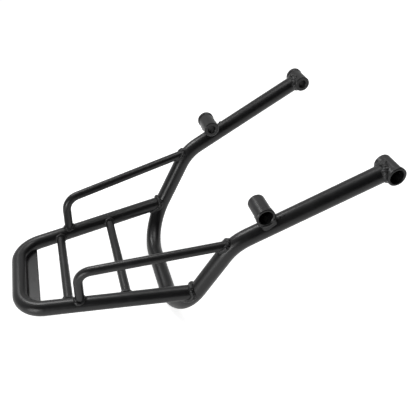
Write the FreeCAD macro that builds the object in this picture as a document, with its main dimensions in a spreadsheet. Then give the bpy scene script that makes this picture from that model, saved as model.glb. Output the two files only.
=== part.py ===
import FreeCAD, Part
import math
import os
import Sketcher

# Rear rack of a motorcycle: a bent mounting hoop, a tapered platform of tubes,
# two grab rails and four bolt bushes, all of steel and welded together.
# Millimetres. X runs across the motorcycle, Y points forward and Z up.
# The origin is on the centre plane, on the line of the two front bolts.

doc = FreeCAD.newDocument("rear_rack")
Vector = FreeCAD.Vector
AXIS_X = Vector(1, 0, 0)
AXIS_Z = Vector(0, 0, 1)
SIDES = {"left": -1, "right": 1}

DIMENSIONS = [
    ("hoop_diameter", 22, "outside of the hoop's tube"),
    ("hoop_wall", 2, "wall of the hoop's tube"),
    ("hoop_bend_radius", 65, "centre line radius of the hoop's four bends"),
    ("hoop_end_trim", 4, "from the bolt line to the square end of the coped tube"),
    ("front_bolt_side", 134, "centre plane to the middle of a front bush"),
    ("upper_bend_side", 114, "centre plane to the upper bend's corner"),
    ("upper_bend_back", 188.5, "front bolts back to the upper bend's corner"),
    ("upper_bend_drop", 77, "front bolts down to the upper bend's corner"),
    ("lower_bend_side", 97.5, "centre plane to the lower bend's corner"),
    ("lower_bend_back", 266, "front bolts back to the lower bend's corner"),
    ("lower_bend_drop", 197, "front bolts down to the lower bend's corner"),
    ("rail_diameter", 20, "outside of the platform's rail"),
    ("rail_wall", 2, "wall of the platform's rail"),
    ("rail_drop", 152, "front bolts down to the platform's centre lines"),
    ("rail_rear_side", 63.5, "centre plane to the corner where rail and rear bar meet"),
    ("rail_rear_back", 458.5, "front bolts back to the rear bar's centre line"),
    ("rail_corner_radius", 36, "centre line radius of the rail's two corners"),
    ("bar_diameter", 12, "outside of a cross bar"),
    ("bar_wall", 1.5, "wall of a cross bar"),
    ("rear_bar_back", 398, "front bolts back to the rear cross bar"),
    ("front_bar_back", 324, "front bolts back to the front cross bar"),
    ("grab_diameter", 12, "outside of a grab rail"),
    ("grab_wall", 1.5, "wall of a grab rail"),
    ("grab_foot_back", 384, "front bolts back to a grab rail's foot"),
    ("grab_knee_rise", 55.5, "platform up to the grab rail's knee"),
    ("grab_knee_forward", 5.5, "foot forward to the grab rail's knee"),
    ("grab_knee_out", 3.5, "foot outward to the grab rail's knee"),
    ("grab_bend_radius", 21, "centre line radius of the grab rail's knee"),
    ("plate_thickness", 2.5, "sheet of the rear plate"),
    ("plate_reach", 24.5, "rear bar's centre line forward to the plate's front edge"),
    ("plate_drop", 4, "platform's centre lines down to the plate's top"),
    ("plate_edge_radius", 0.8, "rounding of the plate's front edges"),
    ("bush_diameter", 22, "outside of a bush's body"),
    ("bush_length", 35, "length of a bush"),
    ("collar_diameter", 24, "outside of a bush's collar"),
    ("collar_length", 5.5, "length of the collar at a bush's outer end"),
    ("collar_shoulder", 1.5, "length of the slope from body to collar"),
    ("bolt_hole_diameter", 11, "hole for the bolt"),
    ("head_recess_diameter", 17.5, "recess for the bolt's head"),
    ("head_recess_depth", 18, "depth of the recess for the bolt's head"),
    ("bush_chamfer", 0.8, "chamfer at a bush's ends"),
    ("bush_spacing", 154.5, "front bush to rear bush, along the arm"),
    ("rear_bush_inset", 7, "arm's centre line inward to the rear bush's middle"),
    ("rear_bush_gap", 2.5, "between the skins of the arm and the rear bush"),
    ("saddle_width", 20, "filling under a rear bush, along the arm"),
    ("saddle_recess", 0.6, "outer end of the bush inward to the filling's outer face"),
    ("saddle_inner_step", 3, "arm's inner side outward to the filling's inner face"),
    ("saddle_corner_radius", 3, "rounding of the filling's upright corners"),
    ("rail_bead_height", 2.6, "weld at a rail's front end, out from the rail's skin"),
    ("rail_bead_reach", 5.5, "weld at a rail's front end, out from the hoop's skin"),
    ("bush_bead_height", 1.8, "weld at a front bush, out from the arm's skin"),
    ("bush_bead_reach", 7, "weld at a front bush, out from the bush's skin"),
    ("rod_bead_height", 2.2, "weld at a bar or grab rail, out from the thin tube's skin"),
    ("rod_bead_reach", 3.4, "weld at a bar or grab rail, out from the thick tube's skin"),
    ("bead_roundness", 0.85, "rounding of a weld's ridge, as a share of its height"),
    ("plate_bead_radius", 2.4, "short beads that hold the plate from below"),
    ("plate_bead_length", 18, "length of one short bead"),
    ("plate_bead_pitch", 34, "from one short bead to the next"),
]
PLATE_BEADS = 3

sheet = doc.addObject("Spreadsheet::Sheet", "sizes")
for row, (alias, value, note) in enumerate(DIMENSIONS, start=1):
    sheet.set(f"A{row}", alias)
    sheet.set(f"B{row}", str(value))
    sheet.set(f"C{row}", note)
    sheet.setAlias(f"B{row}", alias)
doc.recompute()


def size(alias):
    """The number in one named cell."""
    return float(sheet.get(alias))


def bind(item, **expressions):
    """Tie properties of an object to cells; a double underscore stands for a dot."""
    for name, expression in expressions.items():
        item.setExpression(name.replace("__", "."), expression)


# Corner points of the centre lines, all worked out from the sheet

rail_height = -size("rail_drop")


def front_bolt(side):
    return Vector(side * size("front_bolt_side"), 0, 0)


def upper_bend(side):
    back, drop = size("upper_bend_back"), size("upper_bend_drop")
    return Vector(side * size("upper_bend_side"), -back, -drop)


def lower_bend(side):
    back, drop = size("lower_bend_back"), size("lower_bend_drop")
    return Vector(side * size("lower_bend_side"), -back, -drop)


def arm_direction(side):
    """Unit vector from the front bush down the arm."""
    return (upper_bend(side) - front_bolt(side)).normalize()


def rail_front(side):
    """Where the hoop's leg passes through the plane of the platform."""
    top, bottom = upper_bend(side), lower_bend(side)
    share = (top.z - rail_height) / (top.z - bottom.z)
    return top + (bottom - top) * share


def rail_corner(side):
    return Vector(side * size("rail_rear_side"), -size("rail_rear_back"), rail_height)


def on_rail(side, back):
    """The point of a rail's centre line that lies this far behind the front bolts."""
    front, rear = rail_front(side), rail_corner(side)
    share = (front.y + back) / (front.y - rear.y)
    return front + (rear - front) * share


def grab_knee(side):
    step = Vector(side * size("grab_knee_out"), size("grab_knee_forward"), size("grab_knee_rise"))
    return on_rail(side, size("grab_foot_back")) + step


def rear_bolt(side):
    """Middle of a rear bush: on top of the arm, moved inward."""
    along = arm_direction(side)
    upward = along.cross(AXIS_X).normalize() * -1
    if upward.z < 0:
        upward = upward * -1
    reach = size("hoop_diameter") / 2 + size("rear_bush_gap") + size("bush_diameter") / 2
    foot = front_bolt(side) + along * size("bush_spacing")
    return foot + upward * reach - AXIS_X * side * size("rear_bush_inset")


def bent_path(corners, radius):
    """Straight runs through the corner points, joined by tangent arcs."""
    edges = []
    start = corners[0]
    for before, corner, after in zip(corners, corners[1:], corners[2:]):
        arrive = (corner - before).normalize()
        leave = (after - corner).normalize()
        turn = arrive.getAngle(leave)
        inward = (leave - arrive).normalize()
        first = corner - arrive * radius * math.tan(turn / 2)
        middle = corner + inward * radius * (1 / math.cos(turn / 2) - 1)
        last = corner + leave * radius * math.tan(turn / 2)
        edges.append(Part.LineSegment(start, first).toShape())
        edges.append(Part.Arc(first, middle, last).toShape())
        start = last
    edges.append(Part.LineSegment(start, corners[-1]).toShape())
    return Part.Wire(edges)


def shape_object(name, shape):
    item = doc.addObject("Part::Feature", name)
    item.Shape = shape
    return item


def swept_rod(name, path, diameter):
    """A round rod along a path, its radius tied to the sheet."""
    first = path.Shape.OrderedEdges[0]
    start = first.valueAt(first.FirstParameter)
    along = first.tangentAt(first.FirstParameter)
    ring = doc.addObject("Part::Circle", name + "_section")
    ring.setExpression("Radius", f"({diameter}) / 2")
    ring.Placement = FreeCAD.Placement(start, FreeCAD.Rotation(AXIS_Z, along))
    rod = doc.addObject("Part::Sweep", name)
    rod.Sections = [ring]
    rod.Spine = (path, [f"Edge{n + 1}" for n in range(len(path.Shape.Edges))])
    rod.Solid = True
    rod.Frenet = False
    return rod


def cylinder(name, diameter, length, middle, along):
    """A cylinder about its middle, its radius and height tied to the sheet."""
    solid = doc.addObject("Part::Cylinder", name)
    solid.setExpression("Radius", f"({diameter}) / 2")
    solid.setExpression("Height", length)
    doc.recompute()
    start = middle - along * solid.Height.Value / 2
    solid.Placement = FreeCAD.Placement(start, FreeCAD.Rotation(AXIS_Z, along))
    return solid


def cut(name, base, *tools):
    """The base with each tool taken away in turn; the last cut carries the name."""
    for number, tool in enumerate(tools, start=1):
        result = doc.addObject("Part::Cut", f"{name}_cut{number}")
        result.Base = base
        result.Tool = tool
        base = result
    base.Label = name
    return base


def pipe(path, radius):
    """Plain solid rod of any radius along a path, for working out the weld beads."""
    first = path.OrderedEdges[0]
    start = first.valueAt(first.FirstParameter)
    ring = Part.Wire(Part.makeCircle(radius, start, first.tangentAt(first.FirstParameter)))
    return path.makePipeShell([ring], True, False)


parts = {}


def keep(item):
    parts[item.Label] = item
    return item


# Mounting hoop: one tube from the left front bush round to the right one

hoop_corners = [front_bolt(-1), upper_bend(-1), lower_bend(-1)]
hoop_corners += [lower_bend(1), upper_bend(1), front_bolt(1)]
trim = size("hoop_end_trim")
hoop_corners[0] = hoop_corners[0] + arm_direction(-1) * trim
hoop_corners[-1] = hoop_corners[-1] + arm_direction(1) * trim
hoop_path = shape_object("hoop_path", bent_path(hoop_corners, size("hoop_bend_radius")))
hoop_outside = swept_rod("hoop_outside", hoop_path, "sizes.hoop_diameter")
hoop_bore = swept_rod("hoop_bore", hoop_path, "sizes.hoop_diameter - 2 * sizes.hoop_wall")

copes = []
for side_name, side in SIDES.items():
    name = f"front_{side_name}_cope"
    copes.append(cylinder(name, "sizes.bush_diameter", "sizes.bush_length", front_bolt(side), AXIS_X))
hoop_tube = keep(cut("hoop_tube", hoop_outside, hoop_bore, *copes))

# Platform rail: one tube bent to a tapered U, its ends coped to the hoop's legs.
# These expressions give the places where the rails' centre lines lie.

LEG_SHARE = (
    "((sizes.rail_drop - sizes.upper_bend_drop)"
    " / (sizes.lower_bend_drop - sizes.upper_bend_drop))"
)
FRONT_SIDE = (
    "(sizes.upper_bend_side"
    f" + (sizes.lower_bend_side - sizes.upper_bend_side) * {LEG_SHARE})"
)
FRONT_BACK = (
    "(sizes.upper_bend_back"
    f" + (sizes.lower_bend_back - sizes.upper_bend_back) * {LEG_SHARE})"
)


def side_at(back):
    """Expression for the rail's distance from the centre plane, this far back."""
    share = f"(sizes.rail_rear_back - {back}) / (sizes.rail_rear_back - {FRONT_BACK})"
    return f"(sizes.rail_rear_side + ({FRONT_SIDE} - sizes.rail_rear_side) * {share})"


def draw_tapered_u(sketch, front_side, front_back):
    """Left rail, corner, rear bar, corner and right rail, held by named dimensions."""
    corners = [rail_front(-1), rail_corner(-1), rail_corner(1), rail_front(1)]
    flat = bent_path([Vector(p.x, p.y, 0) for p in corners], size("rail_corner_radius"))
    for edge in flat.OrderedEdges:
        first, last = edge.FirstParameter, edge.LastParameter
        start, middle, end = [edge.valueAt(t) for t in (first, (first + last) / 2, last)]
        if edge.Curve.TypeId == "Part::GeomLine":
            sketch.addGeometry(Part.LineSegment(start, end), False)
        else:
            sketch.addGeometry(Part.Arc(start, middle, end), False)
    meeting = sketch.addGeometry(Part.Point(Vector(rail_corner(1).x, rail_corner(1).y, 0)), True)
    left, left_bend, rear, right_bend, right = range(5)
    rules = [
        ("Tangent", left, 2, left_bend, 1),
        ("Tangent", left_bend, 2, rear, 1),
        ("Tangent", rear, 2, right_bend, 1),
        ("Coincident", right_bend, 2, right, 1),
        ("Symmetric", left, 1, right, 2, -2),
        ("Symmetric", left, 2, right, 1, -2),
        ("Symmetric", rear, 1, rear, 2, -2),
        ("PointOnObject", meeting, 1, rear),
        ("PointOnObject", meeting, 1, right),
    ]
    for rule in rules:
        sketch.addConstraint(Sketcher.Constraint(*rule))
    named = [
        ("bend_radius", ("Radius", left_bend), "sizes.rail_corner_radius"),
        ("rear_side", ("DistanceX", -1, 1, meeting, 1), "sizes.rail_rear_side"),
        ("rear_back", ("DistanceY", rear, 1, -1, 1), "sizes.rail_rear_back"),
        ("front_side", ("DistanceX", -1, 1, right, 2), front_side),
        ("front_back", ("DistanceY", right, 2, -1, 1), front_back),
    ]
    add_named(sketch, named)
    return left, right


def add_named(sketch, named):
    """Dimensions with a name each, tied to expressions."""
    for name, (kind, *where), expression in named:
        value = float(sketch.evalExpression(expression))
        index = sketch.addConstraint(Sketcher.Constraint(kind, *where, value))
        sketch.renameConstraint(index, name)
        sketch.setExpression(f"Constraints.{name}", expression)


rail_path = doc.addObject("Sketcher::SketchObject", "rail_path")
bind(rail_path, Placement__Base__z="-sizes.rail_drop")
draw_tapered_u(rail_path, FRONT_SIDE, FRONT_BACK)
doc.recompute()
rail_outside = swept_rod("rail_outside", rail_path, "sizes.rail_diameter")
rail_bore = swept_rod("rail_bore", rail_path, "sizes.rail_diameter - 2 * sizes.rail_wall")
rail_tube = keep(cut("rail_tube", rail_outside, rail_bore, hoop_outside))

# Cross bars: short tubes coped to the rails at both ends

BARS = {"rear": "rear_bar_back", "front": "front_bar_back"}
bar_rods = {}
for place, back in BARS.items():
    length = f"2 * {side_at('sizes.' + back)}"
    middle = Vector(0, -size(back), rail_height)
    bore_diameter = "sizes.bar_diameter - 2 * sizes.bar_wall"
    rod = cylinder(f"{place}_bar_outside", "sizes.bar_diameter", length, middle, AXIS_X)
    bore = cylinder(f"{place}_bar_bore", bore_diameter, length, middle, AXIS_X)
    bar_rods[place] = rod
    keep(cut(f"{place}_cross_bar", rod, bore, rail_outside))

# Grab rails: a leg up from the rail, a knee, and a long run forward to the hoop

grab_rods = {}
for side_name, side in SIDES.items():
    corners = [on_rail(side, size("grab_foot_back")), grab_knee(side), upper_bend(side)]
    path = shape_object(f"{side_name}_grab_path", bent_path(corners, size("grab_bend_radius")))
    rod = swept_rod(f"{side_name}_grab_outside", path, "sizes.grab_diameter")
    bore = swept_rod(
        f"{side_name}_grab_bore", path, "sizes.grab_diameter - 2 * sizes.grab_wall"
    )
    grab_rods[side_name] = (path, rod)
    keep(cut(f"{side_name}_grab_rail", rod, bore, rail_outside, hoop_outside))


def body_sketch(body, plane_role, name):
    """A sketch on one of the body's own origin planes."""
    sketch = body.newObject("Sketcher::SketchObject", name)
    plane = [f for f in body.Origin.OriginFeatures if f.Role == plane_role][0]
    sketch.AttachmentSupport = [(plane, "")]
    sketch.MapMode = "FlatFace"
    return sketch


# Rear plate: a flat strip let in between the rails, against the rear bar

inside_outline = doc.addObject("Sketcher::SketchObject", "inside_outline")
plate_underside = "-sizes.rail_drop - sizes.plate_drop - sizes.plate_thickness"
bind(inside_outline, Placement__Base__z=plate_underside)
left, right = draw_tapered_u(inside_outline, FRONT_SIDE, FRONT_BACK)
left_end = inside_outline.Geometry[left].StartPoint
right_end = inside_outline.Geometry[right].EndPoint
closing = inside_outline.addGeometry(Part.LineSegment(right_end, left_end), False)
inside_outline.addConstraint(Sketcher.Constraint("Coincident", right, 2, closing, 1))
inside_outline.addConstraint(Sketcher.Constraint("Coincident", closing, 2, left, 1))
inside = doc.addObject("Part::Extrusion", "inside_of_rail")
inside.Base = inside_outline
inside.Dir = AXIS_Z
inside.DirMode = "Custom"
inside.Solid = True
inside.setExpression("LengthFwd", "sizes.plate_thickness")
strip = doc.addObject("Part::Box", "plate_strip")
bind(
    strip,
    Length="2 * sizes.rail_rear_side + 2 * sizes.rail_corner_radius",
    Width="sizes.plate_reach",
    Height="sizes.plate_thickness",
    Placement__Base__x="-sizes.rail_rear_side - sizes.rail_corner_radius",
    Placement__Base__y="-sizes.rail_rear_back",
    Placement__Base__z=plate_underside,
)
plate_blank = doc.addObject("Part::Common", "plate_blank")
plate_blank.Base = strip
plate_blank.Tool = inside
doc.recompute()
front_line = size("plate_reach") - size("rail_rear_back")
edge_radius = min(size("plate_edge_radius"), size("plate_thickness") * 0.45)
front_edges = []
for number, edge in enumerate(plate_blank.Shape.Edges, start=1):
    ends = [vertex.Point for vertex in edge.Vertexes]
    level = abs(ends[0].z - ends[-1].z) < 0.001
    if level and all(abs(end.y - front_line) < 0.001 for end in ends):
        front_edges.append((number, edge_radius, edge_radius))
plate_rounded = doc.addObject("Part::Fillet", "plate_rounded")
plate_rounded.Base = plate_blank
plate_rounded.Edges = front_edges
keep(cut("rear_plate", plate_rounded, rail_outside))

# Bolt bushes: turned pieces with a collar, a recess and a bolt hole


def bush(name, side, middle):
    """One stepped bush along X, its collar facing outward."""
    body = doc.addObject("PartDesign::Body", name)
    body.Label = name
    profile = body_sketch(body, "XY_Plane", name + "_profile")
    half = size("bush_length") / 2
    hole, outer = size("bolt_hole_diameter") / 2, size("bush_diameter") / 2
    collar, recess = size("collar_diameter") / 2, size("head_recess_diameter") / 2
    neck = half - size("collar_length")
    floor = half - size("head_recess_depth")
    points = [
        (-half, hole),
        (-half, outer),
        (neck, outer),
        (neck + size("collar_shoulder"), collar),
        (half, collar),
        (half, recess),
        (floor, recess),
        (floor, hole),
    ]
    count = len(points)
    for number in range(count):
        start = Vector(*points[number], 0)
        end = Vector(*points[(number + 1) % count], 0)
        profile.addGeometry(Part.LineSegment(start, end), False)
    for number in range(count):
        after = (number + 1) % count
        profile.addConstraint(Sketcher.Constraint("Coincident", number, 2, after, 1))
    ways = ["Vertical", "Horizontal", None, "Horizontal"] + ["Vertical", "Horizontal"] * 2
    for number, way in enumerate(ways):
        if way:
            profile.addConstraint(Sketcher.Constraint(way, number))
    named = [
        ("inner_half", ("DistanceX", 0, 1, -1, 1), "sizes.bush_length / 2"),
        ("outer_half", ("DistanceX", -1, 1, 4, 1), "sizes.bush_length / 2"),
        ("hole", ("DistanceY", -1, 1, 0, 1), "sizes.bolt_hole_diameter / 2"),
        ("body", ("DistanceY", -1, 1, 1, 1), "sizes.bush_diameter / 2"),
        ("collar", ("DistanceY", -1, 1, 4, 1), "sizes.collar_diameter / 2"),
        ("recess", ("DistanceY", -1, 1, 5, 1), "sizes.head_recess_diameter / 2"),
        ("collar_length", ("DistanceX", 2, 1, 4, 1), "sizes.collar_length"),
        ("shoulder", ("DistanceX", 2, 1, 3, 1), "sizes.collar_shoulder"),
        ("recess_depth", ("DistanceX", 6, 1, 5, 1), "sizes.head_recess_depth"),
    ]
    add_named(profile, named)
    turned = body.newObject("PartDesign::Revolution", name + "_turned")
    turned.Profile = profile
    turned.ReferenceAxis = (profile, ["H_Axis"])
    turned.Angle = 360
    doc.recompute()
    rims = []
    for number, edge in enumerate(turned.Shape.Edges, start=1):
        if edge.Curve.TypeId == "Part::GeomCircle" and abs(abs(edge.CenterOfMass.x) - half) < 0.001:
            rims.append(f"Edge{number}")
    chamfer = body.newObject("PartDesign::Chamfer", name + "_chamfer")
    chamfer.Base = (turned, rims)
    chamfer.setExpression("Size", "sizes.bush_chamfer")
    body.Tip = chamfer
    turn = FreeCAD.Rotation(AXIS_Z, 0 if side > 0 else 180)
    body.Placement = FreeCAD.Placement(middle, turn)
    doc.recompute()
    return body


bush_outlines = {}
for row, place in (("front", front_bolt), ("rear", rear_bolt)):
    for side_name, side in SIDES.items():
        name = f"{row}_{side_name}_bush"
        body = keep(bush(name, side, place(side)))
        start = place(side) - AXIS_X * size("bush_length") / 2
        core_radius = size("head_recess_diameter") / 2 + size("bush_chamfer")
        core = Part.makeCylinder(core_radius, size("bush_length"), start, AXIS_X)
        bush_outlines[name] = shape_object(name + "_outline", body.Shape.fuse(core))

# Filling between each rear bush and its arm

for side_name, side in SIDES.items():
    name = f"rear_{side_name}_saddle"
    along = arm_direction(side)
    level = Vector(0, along.y, along.z).normalize()
    block = doc.addObject("Part::Box", name + "_block")
    block.setExpression(
        "Length",
        "sizes.bush_length / 2 - sizes.saddle_recess - sizes.rear_bush_inset"
        " + sizes.hoop_diameter / 2 - sizes.saddle_inner_step",
    )
    block.setExpression("Width", "sizes.saddle_width")
    block.setExpression(
        "Height", "sizes.hoop_diameter / 2 + sizes.rear_bush_gap + sizes.bush_diameter / 2"
    )
    doc.recompute()
    foot = front_bolt(side) + along * size("bush_spacing")
    outer_face = size("bush_length") / 2 - size("rear_bush_inset") - size("saddle_recess")
    near_face = outer_face - block.Length.Value if side > 0 else -outer_face
    start = foot + AXIS_X * near_face + level * size("saddle_width") / 2
    turn = FreeCAD.Rotation(AXIS_X, -level, AXIS_Z, "XYZ")
    block.Placement = FreeCAD.Placement(start, turn)
    doc.recompute()
    upward = level.cross(AXIS_X).normalize()
    radius = min(size("saddle_corner_radius"), size("saddle_width") * 0.4)
    upright = []
    for number, edge in enumerate(block.Shape.Edges, start=1):
        if abs(edge.tangentAt(0).dot(upward)) > 0.9:
            upright.append((number, radius, radius))
    rounded = doc.addObject("Part::Fillet", name + "_rounded")
    rounded.Base = block
    rounded.Edges = upright
    keep(cut(name, rounded, hoop_outside, bush_outlines[f"rear_{side_name}_bush"]))

# Weld beads: a raised band round the end of a tube, up the skin that it meets


def rounded(band, ridge, radius):
    """The bead with its ridge rounded, or chamfered where the curves are too tight for that."""
    for soften in (band.makeFillet, band.makeChamfer):
        for share in (1, 0.75, 0.5, 0.3):
            try:
                result = soften(radius * share, ridge)
            except Part.OCCError:
                continue
            if result.isValid() and result.Volume > band.Volume / 2:
                return result
    return band


def stretch(path, near, room):
    """The runs and bends of a path that pass within some distance of a point."""
    point = Part.Vertex(near)
    return Part.Wire([edge for edge in path.OrderedEdges if edge.distToShape(point)[0] < room])


def weld(name, near, branch, height, main, reach, *neighbours):
    """The space close to both skins, less the pieces themselves, its ridge rounded."""
    branch_line, branch_radius = branch
    main_line, main_radius = main
    main_line = stretch(main_line, near, 1.5 * (main_radius + reach))
    band = pipe(branch_line, branch_radius + height).common(pipe(main_line, main_radius + reach))
    band = min(band.Solids, key=lambda solid: (solid.CenterOfMass - near).Length)
    for neighbour in neighbours:
        band = band.cut(neighbour.Shape)
    band = max(band.Solids, key=lambda solid: solid.Volume)
    ridge = []
    for edge in band.Edges:
        middle = Part.Vertex(edge.valueAt((edge.FirstParameter + edge.LastParameter) / 2))
        from_branch = middle.distToShape(branch_line)[0] - branch_radius
        from_main = middle.distToShape(main_line)[0] - main_radius
        if from_branch > height - 0.02 and from_main > reach - 0.02:
            ridge.append(edge)
    radius = size("bead_roundness") * min(height, reach)
    return keep(shape_object(name, rounded(band, ridge, radius)))


def weld_and_mirror(name, *details):
    """The bead on the left side, and its mirror image on the right."""
    left_bead = weld(name, *details)
    right_bead = left_bead.Shape.mirror(Vector(0, 0, 0), AXIS_X)
    keep(shape_object(name.replace("left", "right"), right_bead))


rail_line = (rail_path.Shape, size("rail_diameter") / 2)
hoop_line = (hoop_path.Shape, size("hoop_diameter") / 2)

height, reach = size("rail_bead_height"), size("rail_bead_reach")
end = rail_front(-1)
inside_hoop = end + (rail_corner(-1) - end).normalize() * size("hoop_diameter") / 8
rail_run = Part.Wire(Part.makeLine(inside_hoop, on_rail(-1, size("front_bar_back"))))
branch = (rail_run, rail_line[1])
pieces = (hoop_outside, rail_outside)
weld_and_mirror("left_rail_weld", end, branch, height, hoop_line, reach, *pieces)

height, reach = size("rod_bead_height"), size("rod_bead_reach")
for place, back in BARS.items():
    end = on_rail(-1, size(back))
    branch = (Part.Wire(Part.makeLine(end, Vector(0, end.y, end.z))), size("bar_diameter") / 2)
    pieces = (rail_outside, bar_rods[place])
    weld_and_mirror(f"{place}_bar_left_weld", end, branch, height, rail_line, reach, *pieces)

path, rod = grab_rods["left"]
branch = (path.Shape, size("grab_diameter") / 2)
foot = on_rail(-1, size("grab_foot_back"))
pieces = (rail_outside, rod, bar_rods["rear"], parts["rear_bar_left_weld"])
weld_and_mirror("left_grab_foot_weld", foot, branch, height, rail_line, reach, *pieces)
pieces = (hoop_outside, rod)
weld_and_mirror("left_grab_end_weld", upper_bend(-1), branch, height, hoop_line, reach, *pieces)

height, reach = size("bush_bead_height"), size("bush_bead_reach")
bolt = front_bolt(-1)
branch = (Part.Wire(Part.makeLine(bolt, upper_bend(-1))), hoop_line[1])
across = AXIS_X * size("bush_length") / 2
bush_line = (Part.Wire(Part.makeLine(bolt - across, bolt + across)), size("bush_diameter") / 2)
pieces = (hoop_outside, bush_outlines["front_left_bush"])
weld_and_mirror("front_left_bush_weld", bolt, branch, height, bush_line, reach, *pieces)

# Short beads under the plate, in the corner between the sheet and the rear bar

sheet_bottom = rail_height - size("plate_drop") - size("plate_thickness")
bar_radius = size("rail_diameter") / 2
reach = math.sqrt(bar_radius**2 - (rail_height - sheet_bottom) ** 2)
corner = Vector(0, -size("rail_rear_back") + reach, sheet_bottom)
beads = []
for number in range(PLATE_BEADS):
    middle = corner + AXIS_X * size("plate_bead_pitch") * (number - (PLATE_BEADS - 1) / 2)
    start = middle - AXIS_X * size("plate_bead_length") / 2
    rod = Part.makeCylinder(size("plate_bead_radius"), size("plate_bead_length"), start, AXIS_X)
    beads.append(rod.cut(rail_outside.Shape).cut(parts["rear_plate"].Shape))
all_beads = Part.makeCompound([solid for bead in beads for solid in bead.Solids])
keep(shape_object("rear_plate_welds", all_beads))

# Every object has to be sound before anything is written

doc.recompute()
for item in doc.Objects:
    if "Invalid" in item.State or "Error" in item.State:
        raise RuntimeError(f"{item.Name} is {item.State}")
for name, item in parts.items():
    shape = item.Shape
    if shape.isNull() or not shape.isValid() or not shape.Solids:
        raise RuntimeError(f"{name} has no sound shape")

os.makedirs("parts", exist_ok=True)
for name, item in parts.items():
    item.Shape.exportStep(f"parts/{name}.step")
    print(name, len(item.Shape.Solids), round(item.Shape.Volume))
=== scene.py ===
import math
import random

import bmesh
import bpy
import numpy
from mathutils import Matrix, Vector
from mathutils.bvhtree import BVHTree


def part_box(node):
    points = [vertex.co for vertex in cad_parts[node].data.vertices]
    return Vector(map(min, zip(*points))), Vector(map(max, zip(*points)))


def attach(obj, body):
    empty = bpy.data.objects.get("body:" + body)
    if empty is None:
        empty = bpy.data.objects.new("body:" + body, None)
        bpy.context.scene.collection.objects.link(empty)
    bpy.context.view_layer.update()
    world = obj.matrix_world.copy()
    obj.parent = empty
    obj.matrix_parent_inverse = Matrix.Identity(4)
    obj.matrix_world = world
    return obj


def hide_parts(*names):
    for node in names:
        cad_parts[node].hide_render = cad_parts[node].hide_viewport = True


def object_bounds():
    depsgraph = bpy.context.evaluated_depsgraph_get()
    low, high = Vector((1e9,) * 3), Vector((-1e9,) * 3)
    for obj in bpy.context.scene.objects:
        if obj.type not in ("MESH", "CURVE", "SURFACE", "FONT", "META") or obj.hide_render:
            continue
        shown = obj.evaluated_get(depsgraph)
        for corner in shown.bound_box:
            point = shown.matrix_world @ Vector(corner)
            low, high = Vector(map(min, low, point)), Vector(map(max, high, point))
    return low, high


# Rear rack of a motorcycle: black powder coated steel tubes, welded together.
# Metres. X to the motorcycle's right, Y forward, Z up, origin between the two front bolts.

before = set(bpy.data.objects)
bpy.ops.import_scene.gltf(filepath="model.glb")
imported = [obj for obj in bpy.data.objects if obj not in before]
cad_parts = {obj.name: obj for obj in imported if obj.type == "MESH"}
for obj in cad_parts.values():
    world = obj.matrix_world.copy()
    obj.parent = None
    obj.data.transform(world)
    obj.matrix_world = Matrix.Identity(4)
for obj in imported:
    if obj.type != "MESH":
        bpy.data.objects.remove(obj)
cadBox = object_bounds()
print("frame loaded:", len(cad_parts), "CAD nodes")


# the coat: one satin black for the whole rack, as it is sprayed after welding

coat = {
    "colour": (0.0085, 0.0085, 0.0090),
    "dustColour": (0.020, 0.020, 0.021),
    "dustPatch": 38,        # millimetres across a patch of dust
    "dustFrom": 0.45,       # level of the pattern where dust begins to show
    "dustFull": 0.80,
    "dustShare": 0.45,
    "roughness": 0.34,
    "roughnessSpread": 0.10,
    "mattPatch": 9,         # millimetres across a patch of duller coat
    "mattFrom": 0.3,
    "mattFull": 0.7,
    "rougherOnWelds": 0.05,
    "specular": 0.5,
    "peelSize": 1.1,        # millimetres from one ripple of the coat to the next
    "peelDepth": 0.010,     # millimetres
    "grainSize": 0.30,
    "grainDepth": 0.006,
}


def addNode(tree, kind, place, **values):
    node = tree.nodes.new(kind)
    node.location = place
    for name, value in values.items():
        setattr(node, name, value)
    return node


def noiseOfSize(tree, coords, millimetres, detail, place):
    pattern = addNode(tree, "ShaderNodeTexNoise", place)
    pattern.inputs["Scale"].default_value = 1000 / millimetres
    pattern.inputs["Detail"].default_value = detail
    tree.links.new(coords.outputs["Object"], pattern.inputs["Vector"])
    return pattern


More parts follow.
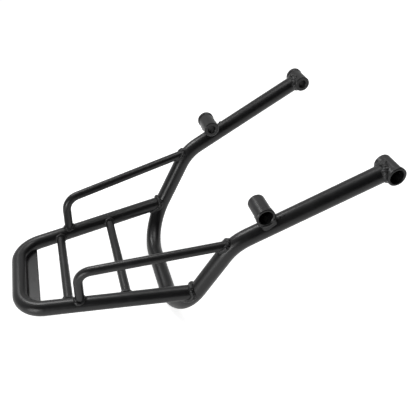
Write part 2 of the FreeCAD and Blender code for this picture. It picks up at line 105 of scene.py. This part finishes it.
def powderCoat(name, settings, extraRoughness=0.0):
    material = bpy.data.materials.new(name)
    material.use_nodes = True
    tree = material.node_tree
    shader = tree.nodes["Principled BSDF"]
    coords = addNode(tree, "ShaderNodeTexCoord", (-1400, 0))

    cloud = noiseOfSize(tree, coords, settings["dustPatch"], 3, (-1100, 300))
    tone = addNode(tree, "ShaderNodeMix", (-600, 300), data_type="RGBA")
    tone.inputs["A"].default_value = (*settings["colour"], 1)
    tone.inputs["B"].default_value = (*settings["dustColour"], 1)
    toneShare = addNode(tree, "ShaderNodeMapRange", (-850, 300))
    toneShare.inputs["From Min"].default_value = settings["dustFrom"]
    toneShare.inputs["From Max"].default_value = settings["dustFull"]
    toneShare.inputs["To Max"].default_value = settings["dustShare"]
    tree.links.new(cloud.outputs["Fac"], toneShare.inputs["Value"])
    tree.links.new(toneShare.outputs["Result"], tone.inputs["Factor"])
    tree.links.new(tone.outputs["Result"], shader.inputs["Base Color"])

    matt = noiseOfSize(tree, coords, settings["mattPatch"], 4, (-1100, 0))
    roughness = addNode(tree, "ShaderNodeMapRange", (-850, 0))
    roughness.inputs["From Min"].default_value = settings["mattFrom"]
    roughness.inputs["From Max"].default_value = settings["mattFull"]
    middle = settings["roughness"] + extraRoughness
    roughness.inputs["To Min"].default_value = middle - settings["roughnessSpread"] / 2
    roughness.inputs["To Max"].default_value = middle + settings["roughnessSpread"] / 2
    tree.links.new(matt.outputs["Fac"], roughness.inputs["Value"])
    tree.links.new(roughness.outputs["Result"], shader.inputs["Roughness"])

    peel = noiseOfSize(tree, coords, settings["peelSize"], 1, (-1100, -300))
    grain = noiseOfSize(tree, coords, settings["grainSize"], 2, (-1100, -550))
    peelBump = addNode(tree, "ShaderNodeBump", (-600, -300))
    peelBump.inputs["Strength"].default_value = 1
    peelBump.inputs["Distance"].default_value = settings["peelDepth"] / 1000
    grainBump = addNode(tree, "ShaderNodeBump", (-350, -400))
    grainBump.inputs["Strength"].default_value = 1
    grainBump.inputs["Distance"].default_value = settings["grainDepth"] / 1000
    tree.links.new(peel.outputs["Fac"], peelBump.inputs["Height"])
    tree.links.new(grain.outputs["Fac"], grainBump.inputs["Height"])
    tree.links.new(peelBump.outputs["Normal"], grainBump.inputs["Normal"])
    tree.links.new(grainBump.outputs["Normal"], shader.inputs["Normal"])

    shader.inputs["Specular IOR Level"].default_value = settings["specular"]
    return material


tubeCoat = powderCoat("blackPowderCoat", coat)
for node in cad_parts.values():
    node.data.materials.clear()
    node.data.materials.append(tubeCoat)
print("powder coat on the CAD nodes")


# welds: each one is a row of overlapping puddles, laid round the line where two pieces meet

bead = {                    # millimetres
    "rail": {"pitch": 2.5, "along": 3.0, "across": 3.5, "height": 2.9, "rise": 0.5, "cell": 0.40},
    "bar": {"pitch": 2.0, "along": 2.3, "across": 2.6, "height": 2.1, "rise": 0.4, "cell": 0.32},
    "grabEnd": {"pitch": 2.2, "along": 2.6, "across": 3.1, "height": 2.4, "rise": 0.5, "cell": 0.34},
    "bush": {"pitch": 3.2, "along": 3.6, "across": 5.0, "height": 2.3, "rise": 0.2, "cell": 0.42},
    "saddle": {"pitch": 2.4, "along": 2.9, "across": 2.0, "height": 1.3, "rise": 0.1, "cell": 0.36},
    "plate": {"pitch": 2.3, "along": 2.6, "across": 2.3, "height": 1.9, "rise": 0.3, "cell": 0.34},
}
welding = {
    "lean": 24,             # degrees that a puddle leans back over the one before
    "sizeSpread": 0.10,
    "placeSpread": 0.30,
    "bushCore": 10.3,       # radius inside which a bush keeps its own metal
    "buried": 0.8,          # how far a bead reaches under a skin
    "startLump": 1.20,      # a bead is fatter where the welder starts it
    "runs": 3,              # starts on the way round a tube
    "bins": 72,             # steps round a seam in which its points are averaged
    "touching": 0.15,       # closer than this, two skins meet
    "opposed": -0.8,        # dot product of the normals of two skins that meet
    "searched": 14,         # how far off a skin is looked for
    "straight": 0.97,       # share of the gap that lies along the skin's normal
    "sideFrom": 20,         # distance from the centre plane at which a side begins
    "softening": 2,         # rounds of smoothing
}
mm = 0.001
dice = random.Random(7)
forms = {}
trees = {}


def formOf(nodeName):
    if nodeName not in forms:
        form = bmesh.new()
        form.from_mesh(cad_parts[nodeName].data)
        bmesh.ops.remove_doubles(form, verts=form.verts, dist=0.000002)
        form.normal_update()
        forms[nodeName] = form
        trees[nodeName] = BVHTree.FromBMesh(form)
    return forms[nodeName], trees[nodeName]


def seamPoints(nodeName, otherName, keepPoint):
    # edges of a node where its end face, pressed on the other node, turns into its outer skin
    form, _ = formOf(nodeName)
    _, otherTree = formOf(otherName)
    reach = welding["touching"] * mm
    pressed = set()
    for face in form.faces:
        middle = face.calc_center_median()
        spot, normal, _, gap = otherTree.find_nearest(middle, 2 * reach)
        if spot is not None and gap < reach and face.normal.dot(normal) < welding["opposed"]:
            pressed.add(face.index)
    found = []
    for edge in form.edges:
        if len(edge.link_faces) != 2:
            continue
        sides = [face.index in pressed for face in edge.link_faces]
        if sides[0] == sides[1]:
            continue
        middle = (edge.verts[0].co + edge.verts[1].co) / 2
        if not keepPoint(middle):
            continue
        free = edge.link_faces[0] if sides[1] else edge.link_faces[1]
        _, otherNormal, _, _ = otherTree.find_nearest(middle)
        found.append((middle, free.normal.copy(), otherNormal))
    centre = sum((point for point, _, _ in found), Vector()) / len(found)
    return [row for row in found if row[1].dot(row[0] - centre) > 0], centre


def seamLoop(nodeName, otherName, keepPoint):
    # the same points in order round the seam, as (place, outward direction)
    found, centre = seamPoints(nodeName, otherName, keepPoint)
    spread = numpy.array([list(point - centre) for point, _, _ in found])
    _, _, axes = numpy.linalg.svd(spread, full_matrices=False)
    first, second = Vector(axes[0]), Vector(axes[1])
    bins = {}
    for point, normal, otherNormal in found:
        turn = math.atan2((point - centre).dot(second), (point - centre).dot(first))
        number = int((turn / math.tau + 0.5) * welding["bins"])
        bins.setdefault(number, []).append((point, normal + otherNormal))
    loop = []
    for number in sorted(bins):
        rows = bins[number]
        place = sum((point for point, _ in rows), Vector()) / len(rows)
        out = sum((normal for _, normal in rows), Vector()).normalized()
        loop.append((place, out))
    return loop


def evenSteps(loop, pitch, closed):
    # places a pitch apart along the seam, with the seam's direction at each
    rows = loop + loop[:1] if closed else loop
    lengths = [(b[0] - a[0]).length for a, b in zip(rows, rows[1:])]
    total = sum(lengths)
    count = max(3, round(total / (pitch * mm)))
    steps = []
    for number in range(count if closed else count + 1):
        wanted = total * number / count
        index = 0
        while index < len(lengths) - 1 and wanted > lengths[index]:
            wanted -= lengths[index]
            index += 1
        share = min(1, wanted / max(lengths[index], 1e-9))
        here, there = rows[index], rows[index + 1]
        along = (there[0] - here[0]).normalized()
        steps.append((here[0].lerp(there[0], share), here[1].lerp(there[1], share).normalized(), along))
    return steps


def layPuddles(form, steps, size, closed):
    for number, (place, out, along) in enumerate(steps):
        along = (along - out * along.dot(out)).normalized()
        across = out.cross(along)
        scale = 1 + dice.uniform(-1, 1) * welding["sizeSpread"]
        if closed and number % max(1, len(steps) // welding["runs"]) == 0:
            scale *= welding["startLump"]
        shift = [dice.uniform(-1, 1) * welding["placeSpread"] * mm for _ in range(2)]
        centre = place + out * (size["rise"] * mm + shift[0] * 0.5) + across * shift[1]
        frameAxes = Matrix((along, across, out)).transposed().to_4x4()
        lean = Matrix.Rotation(math.radians(welding["lean"]), 4, "Y")
        reach = Matrix.Diagonal((
            size["along"] * mm * scale, size["across"] * mm * scale, size["height"] * mm * scale, 1,
        ))
        matrix = Matrix.Translation(centre) @ frameAxes @ lean @ reach
        bmesh.ops.create_icosphere(form, subdivisions=3, radius=1, matrix=matrix)


def soften(form, rounds):
    axes = {"use_axis_x": True, "use_axis_y": True, "use_axis_z": True}
    for _ in range(rounds):
        bmesh.ops.smooth_vert(form, verts=form.verts, factor=0.5, **axes)


def oneSkin(name, form, cell, rounds):
    # the puddles grown together to one closed skin, lightly smoothed
    mesh = bpy.data.meshes.new(name)
    form.to_mesh(mesh)
    form.free()
    piece = bpy.data.objects.new(name, mesh)
    bpy.context.scene.collection.objects.link(piece)
    remesh = piece.modifiers.new("oneSkin", "REMESH")
    remesh.mode = "VOXEL"
    remesh.voxel_size = cell * mm
    grown = bpy.data.meshes.new_from_object(piece.evaluated_get(bpy.context.evaluated_depsgraph_get()))
    piece.modifiers.clear()
    piece.data = grown
    bpy.data.meshes.remove(mesh)
    form = bmesh.new()
    form.from_mesh(grown)
    soften(form, rounds)
    return piece, form


def keepOffBush(form, nodeName):
    # nothing reaches through the wall into a bush's bore
    low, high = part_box(nodeName)
    middle = (low + high) / 2
    for vertex in form.verts:
        outward = Vector((0, vertex.co.y - middle.y, vertex.co.z - middle.z))
        if outward.length < welding["bushCore"] * mm:
            outward *= welding["bushCore"] * mm / max(outward.length, 1e-6)
            vertex.co = Vector((vertex.co.x, middle.y + outward.y, middle.z + outward.z))


def trimUnder(form, nodeNames):
    # what lies deep under a tube's skin is brought up to just below it
    depth = welding["buried"] * mm
    for nodeName in nodeNames:
        if nodeName.endswith("_bush"):
            keepOffBush(form, nodeName)
            continue
        tree = formOf(nodeName)[1]
        for vertex in form.verts:
            spot, normal, _, gap = tree.find_nearest(vertex.co, welding["searched"] * mm)
            if spot is None:
                continue
            under = (spot - vertex.co).dot(normal)
            if under > depth and under > welding["straight"] * gap:
                vertex.co = spot - normal * depth


def finishBead(piece, form, *nodes):
    form.to_mesh(piece.data)
    form.free()
    for polygon in piece.data.polygons:
        polygon.use_smooth = True
    piece.data.materials.clear()
    piece.data.materials.append(weldCoat)
    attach(piece, "root")
    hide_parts(*nodes)


weldCoat = powderCoat("coatOverWeld", coat, coat["rougherOnWelds"])


def weldRound(nodeName, kind, branch, main, keepPoint):
    size = bead[kind]
    form = bmesh.new()
    layPuddles(form, evenSteps(seamLoop(branch, main, keepPoint), size["pitch"], True), size, True)
    piece, form = oneSkin(nodeName + "_bead", form, size["cell"], welding["softening"])
    trimUnder(form, (branch, main))
    finishBead(piece, form, nodeName)


for sideName, side in (("left", -1), ("right", 1)):
    def onThisSide(point, side=side):
        return point.x * side > welding["sideFrom"] * mm
    rounds = [
        (f"{sideName}_rail_weld", "rail", "rail_tube", "hoop_tube"),
        (f"rear_bar_{sideName}_weld", "bar", "rear_cross_bar", "rail_tube"),
        (f"front_bar_{sideName}_weld", "bar", "front_cross_bar", "rail_tube"),
        (f"{sideName}_grab_foot_weld", "bar", f"{sideName}_grab_rail", "rail_tube"),
        (f"{sideName}_grab_end_weld", "grabEnd", f"{sideName}_grab_rail", "hoop_tube"),
        (f"front_{sideName}_bush_weld", "bush", "hoop_tube", f"front_{sideName}_bush"),
    ]
    for nodeName, kind, branch, main in rounds:
        weldRound(nodeName, kind, branch, main, onThisSide)
print("weld beads laid round the tubes")


# filling under a rear bush: a smooth round pad between bush and arm, with spatter beside it

saddle = {                  # millimetres
    "cell": 0.38,
    "softening": 7,         # rounds of smoothing
    "reach": 19.3,          # from the bush's axis out to the filling's round edge
    "squeeze": 0.12,        # what is left of a corner past that edge
    "lastSoftening": 9,     # rounds of smoothing once the edge is round
    "spatter": 6,           # small drops beside the filling
    "spatterSize": (0.55, 1.15),
    "spatterReach": 15,     # from the filling's middle, forward along the arm
    "spatterDrift": 3,      # how far that reach varies
    "spatterSide": (7, 13),
    "spatterForward": 0.92,
    "spatterRise": 0.38,
    "spatterLift": 9,
}


def fillSaddle(sideName, side):
    name = f"rear_{sideName}_saddle"
    bush = f"rear_{sideName}_bush"
    form = formOf(name)[0].copy()
    loop = seamLoop(name, bush, lambda point: True)
    layPuddles(form, evenSteps(loop, bead["saddle"]["pitch"], True), bead["saddle"], True)
    low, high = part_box(name)
    middle = (low + high) / 2
    piece, form = oneSkin(name + "_filling", form, saddle["cell"], saddle["softening"])
    bushLow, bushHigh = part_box(bush)
    axis = (bushLow + bushHigh) / 2
    for vertex in form.verts:
        outward = Vector((0, vertex.co.y - axis.y, vertex.co.z - axis.z))
        past = outward.length - saddle["reach"] * mm
        if past > 0 and abs(vertex.co.y - axis.y) < saddle["reach"] * mm:
            vertex.co -= outward.normalized() * past * (1 - saddle["squeeze"])
    soften(form, saddle["lastSoftening"])
    trimUnder(form, ("hoop_tube", bush))
    armTree = formOf("hoop_tube")[1]
    for _ in range(saddle["spatter"]):
        ahead = (saddle["spatterReach"] + dice.uniform(-saddle["spatterDrift"], saddle["spatterDrift"])) * mm
        guess = middle + Vector((
            side * dice.uniform(*saddle["spatterSide"]) * mm,
            ahead * saddle["spatterForward"],
            ahead * saddle["spatterRise"] + saddle["spatterLift"] * mm,
        ))
        spot, _, _, _ = armTree.find_nearest(guess)
        drop = Matrix.Translation(spot) @ Matrix.Scale(dice.uniform(*saddle["spatterSize"]) * mm, 4)
        bmesh.ops.create_icosphere(form, subdivisions=2, radius=1, matrix=drop)
    finishBead(piece, form, name)


for sideName, side in (("left", -1), ("right", 1)):
    fillSaddle(sideName, side)
print("rear bushes filled in on the arms")


# short beads under the plate, against the rear bar

plateWelding = {
    "fromEnds": 2,          # millimetres from a bead's end to its first puddle
    "faces": (0, 0.6, -0.8),
}


def separateSolids(form):
    # the vertices of each solid in a node, from left to right
    solids = []
    taken = set()
    for start in form.verts:
        if start.index in taken:
            continue
        taken.add(start.index)
        island = [start]
        for vertex in island:
            for link in vertex.link_edges:
                other = link.other_vert(vertex)
                if other.index not in taken:
                    taken.add(other.index)
                    island.append(other)
        solids.append([vertex.co.copy() for vertex in island])
    return sorted(solids, key=lambda places: min(place.x for place in places))


def weldPlate():
    name = "rear_plate_welds"
    solid = formOf(name)[0]
    solid.verts.index_update()
    form = bmesh.new()
    size = bead["plate"]
    out = Vector(plateWelding["faces"])
    end = plateWelding["fromEnds"] * mm
    for places in separateSolids(solid):
        xs = [place.x for place in places]
        centre = sum(places, Vector()) / len(places)
        row = [(Vector((x, centre.y, centre.z)), out) for x in (min(xs) + end, max(xs) - end)]
        layPuddles(form, evenSteps(row, size["pitch"], False), size, False)
    piece, form = oneSkin(name + "_bead", form, size["cell"], welding["softening"])
    trimUnder(form, ("rail_tube", "rear_plate"))
    finishBead(piece, form, name)


weldPlate()
print("plate welded in")


# camera, fitted to the photograph's view of the rack

cameraSettings = {
    "place": (0.6131, -0.3402, 0.3747),
    "azimuth": 76.11,       # degrees round from behind the motorcycle, towards its right
    "elevation": 37.1,
    "roll": -3.74,
    "focalPixels": 565.1,
    "pictureSide": 416,
}


def placeCamera(settings):
    azimuth = math.radians(settings["azimuth"])
    elevation = math.radians(settings["elevation"])
    roll = math.radians(settings["roll"])
    back = Vector((
        math.sin(azimuth) * math.cos(elevation),
        -math.cos(azimuth) * math.cos(elevation),
        math.sin(elevation),
    ))
    level = (-back).cross(Vector((0, 0, 1))).normalized()
    upright = level.cross(-back)
    right = math.cos(roll) * level + math.sin(roll) * upright
    up = -math.sin(roll) * level + math.cos(roll) * upright
    data = bpy.data.cameras.new("photoCamera")
    data.sensor_width = 36
    data.lens = settings["focalPixels"] / settings["pictureSide"] * data.sensor_width
    data.clip_start = 0.01
    camera = bpy.data.objects.new("photoCamera", data)
    turn = Matrix((right, up, back)).transposed().to_4x4()
    camera.matrix_world = Matrix.Translation(settings["place"]) @ turn
    bpy.context.scene.collection.objects.link(camera)
    bpy.context.scene.camera = camera


placeCamera(cameraSettings)
print("camera placed")


# studio: white floor, a room that is bright on one side, and three soft lamps

studio = {
    "floorSide": 6.0,
    "floorGap": 0.0004,     # under the lowest point of the rack
    "floorMiddle": (0, -0.2),
    "floorGlow": 0.80,      # how much of its own light the floor shows
    "floorInCoat": 0.55,    # share of that glow which the coat mirrors
    "floorColour": (0.80, 0.80, 0.80),
    "brightSide": (-0.93, -0.20, 0.30),     # where the white backdrop of the room is
    "brightLevel": 0.7,
    "darkLevel": 0.04,
    "darkTo": -0.20,        # how far a direction faces the bright side while still dark
    "brightFrom": 0.90,
    "lampsAimAt": (0, -0.22, -0.10),
}
lamps = {
    "overheadBox": {"power": 3, "side": 0.35, "place": (-0.50, -0.60, 0.70)},
    "lowBox": {"power": 5, "side": 0.50, "place": (0.75, -1.25, 0.10)},
    "topBox": {"power": 3, "side": 0.60, "place": (-0.20, 0.10, 0.90)},
}


def layFloor(settings):
    low = cadBox[0]
    mesh = bpy.data.meshes.new("studioFloor")
    form = bmesh.new()
    bmesh.ops.create_grid(form, x_segments=1, y_segments=1, size=settings["floorSide"] / 2)
    bmesh.ops.translate(form, verts=form.verts, vec=(*settings["floorMiddle"], low[2] - settings["floorGap"]))
    form.to_mesh(mesh)
    form.free()
    floor = bpy.data.objects.new("studioFloor", mesh)
    bpy.context.scene.collection.objects.link(floor)
    material = bpy.data.materials.new("whiteFloor")
    material.use_nodes = True
    tree = material.node_tree
    tree.nodes.clear()
    output = addNode(tree, "ShaderNodeOutputMaterial", (400, 0))
    card = addNode(tree, "ShaderNodeBsdfDiffuse", (-200, 100))
    card.inputs["Color"].default_value = (*settings["floorColour"], 1)
    glow = addNode(tree, "ShaderNodeEmission", (-200, -100))
    glow.inputs["Strength"].default_value = settings["floorGlow"]
    path = addNode(tree, "ShaderNodeLightPath", (-600, 300))
    seen = addNode(tree, "ShaderNodeMath", (-400, 300), operation="MULTIPLY_ADD", use_clamp=True)
    tree.links.new(path.outputs["Is Glossy Ray"], seen.inputs[0])
    seen.inputs[1].default_value = settings["floorInCoat"]
    tree.links.new(path.outputs["Is Camera Ray"], seen.inputs[2])
    share = addNode(tree, "ShaderNodeMixShader", (0, -100))
    dark = addNode(tree, "ShaderNodeEmission", (-200, -250))
    dark.inputs["Strength"].default_value = 0
    tree.links.new(seen.outputs[0], share.inputs[0])
    tree.links.new(dark.outputs[0], share.inputs[1])
    tree.links.new(glow.outputs[0], share.inputs[2])
    both = addNode(tree, "ShaderNodeAddShader", (200, 0))
    tree.links.new(card.outputs[0], both.inputs[0])
    tree.links.new(share.outputs[0], both.inputs[1])
    tree.links.new(both.outputs[0], output.inputs["Surface"])
    mesh.materials.append(material)


def setWorld(settings):
    world = bpy.data.worlds.new("studioWorld")
    bpy.context.scene.world = world
    world.use_nodes = True
    tree = world.node_tree
    tree.nodes.clear()
    output = addNode(tree, "ShaderNodeOutputWorld", (600, 0))
    coords = addNode(tree, "ShaderNodeTexCoord", (-800, 0))
    facing = addNode(tree, "ShaderNodeVectorMath", (-600, 0), operation="DOT_PRODUCT")
    facing.inputs[1].default_value = Vector(settings["brightSide"]).normalized()
    level = addNode(tree, "ShaderNodeMapRange", (-400, 0), interpolation_type="SMOOTHSTEP")
    level.inputs["From Min"].default_value = settings["darkTo"]
    level.inputs["From Max"].default_value = settings["brightFrom"]
    level.inputs["To Min"].default_value = settings["darkLevel"]
    level.inputs["To Max"].default_value = settings["brightLevel"]
    light = addNode(tree, "ShaderNodeBackground", (0, 100))
    white = addNode(tree, "ShaderNodeBackground", (0, -100))
    white.inputs["Color"].default_value = (1, 1, 1, 1)
    path = addNode(tree, "ShaderNodeLightPath", (-200, 400))
    choose = addNode(tree, "ShaderNodeMixShader", (300, 0))
    tree.links.new(coords.outputs["Generated"], facing.inputs[0])
    tree.links.new(facing.outputs["Value"], level.inputs["Value"])
    tree.links.new(level.outputs["Result"], light.inputs["Strength"])
    tree.links.new(path.outputs["Is Camera Ray"], choose.inputs[0])
    tree.links.new(light.outputs[0], choose.inputs[1])
    tree.links.new(white.outputs[0], choose.inputs[2])
    tree.links.new(choose.outputs[0], output.inputs["Surface"])


def hangLamp(name, settings, target):
    data = bpy.data.lights.new(name, "AREA")
    data.energy = settings["power"]
    data.size = settings["side"]
    lamp = bpy.data.objects.new(name, data)
    lamp.location = settings["place"]
    aim = Vector(target) - Vector(settings["place"])
    lamp.rotation_euler = aim.to_track_quat("-Z", "Y").to_euler()
    bpy.context.scene.collection.objects.link(lamp)


layFloor(studio)
setWorld(studio)
for name, settings in lamps.items():
    hangLamp(name, settings, studio["lampsAimAt"])
bpy.context.scene.view_settings.view_transform = "Standard"
print("floor, world and lamps set")
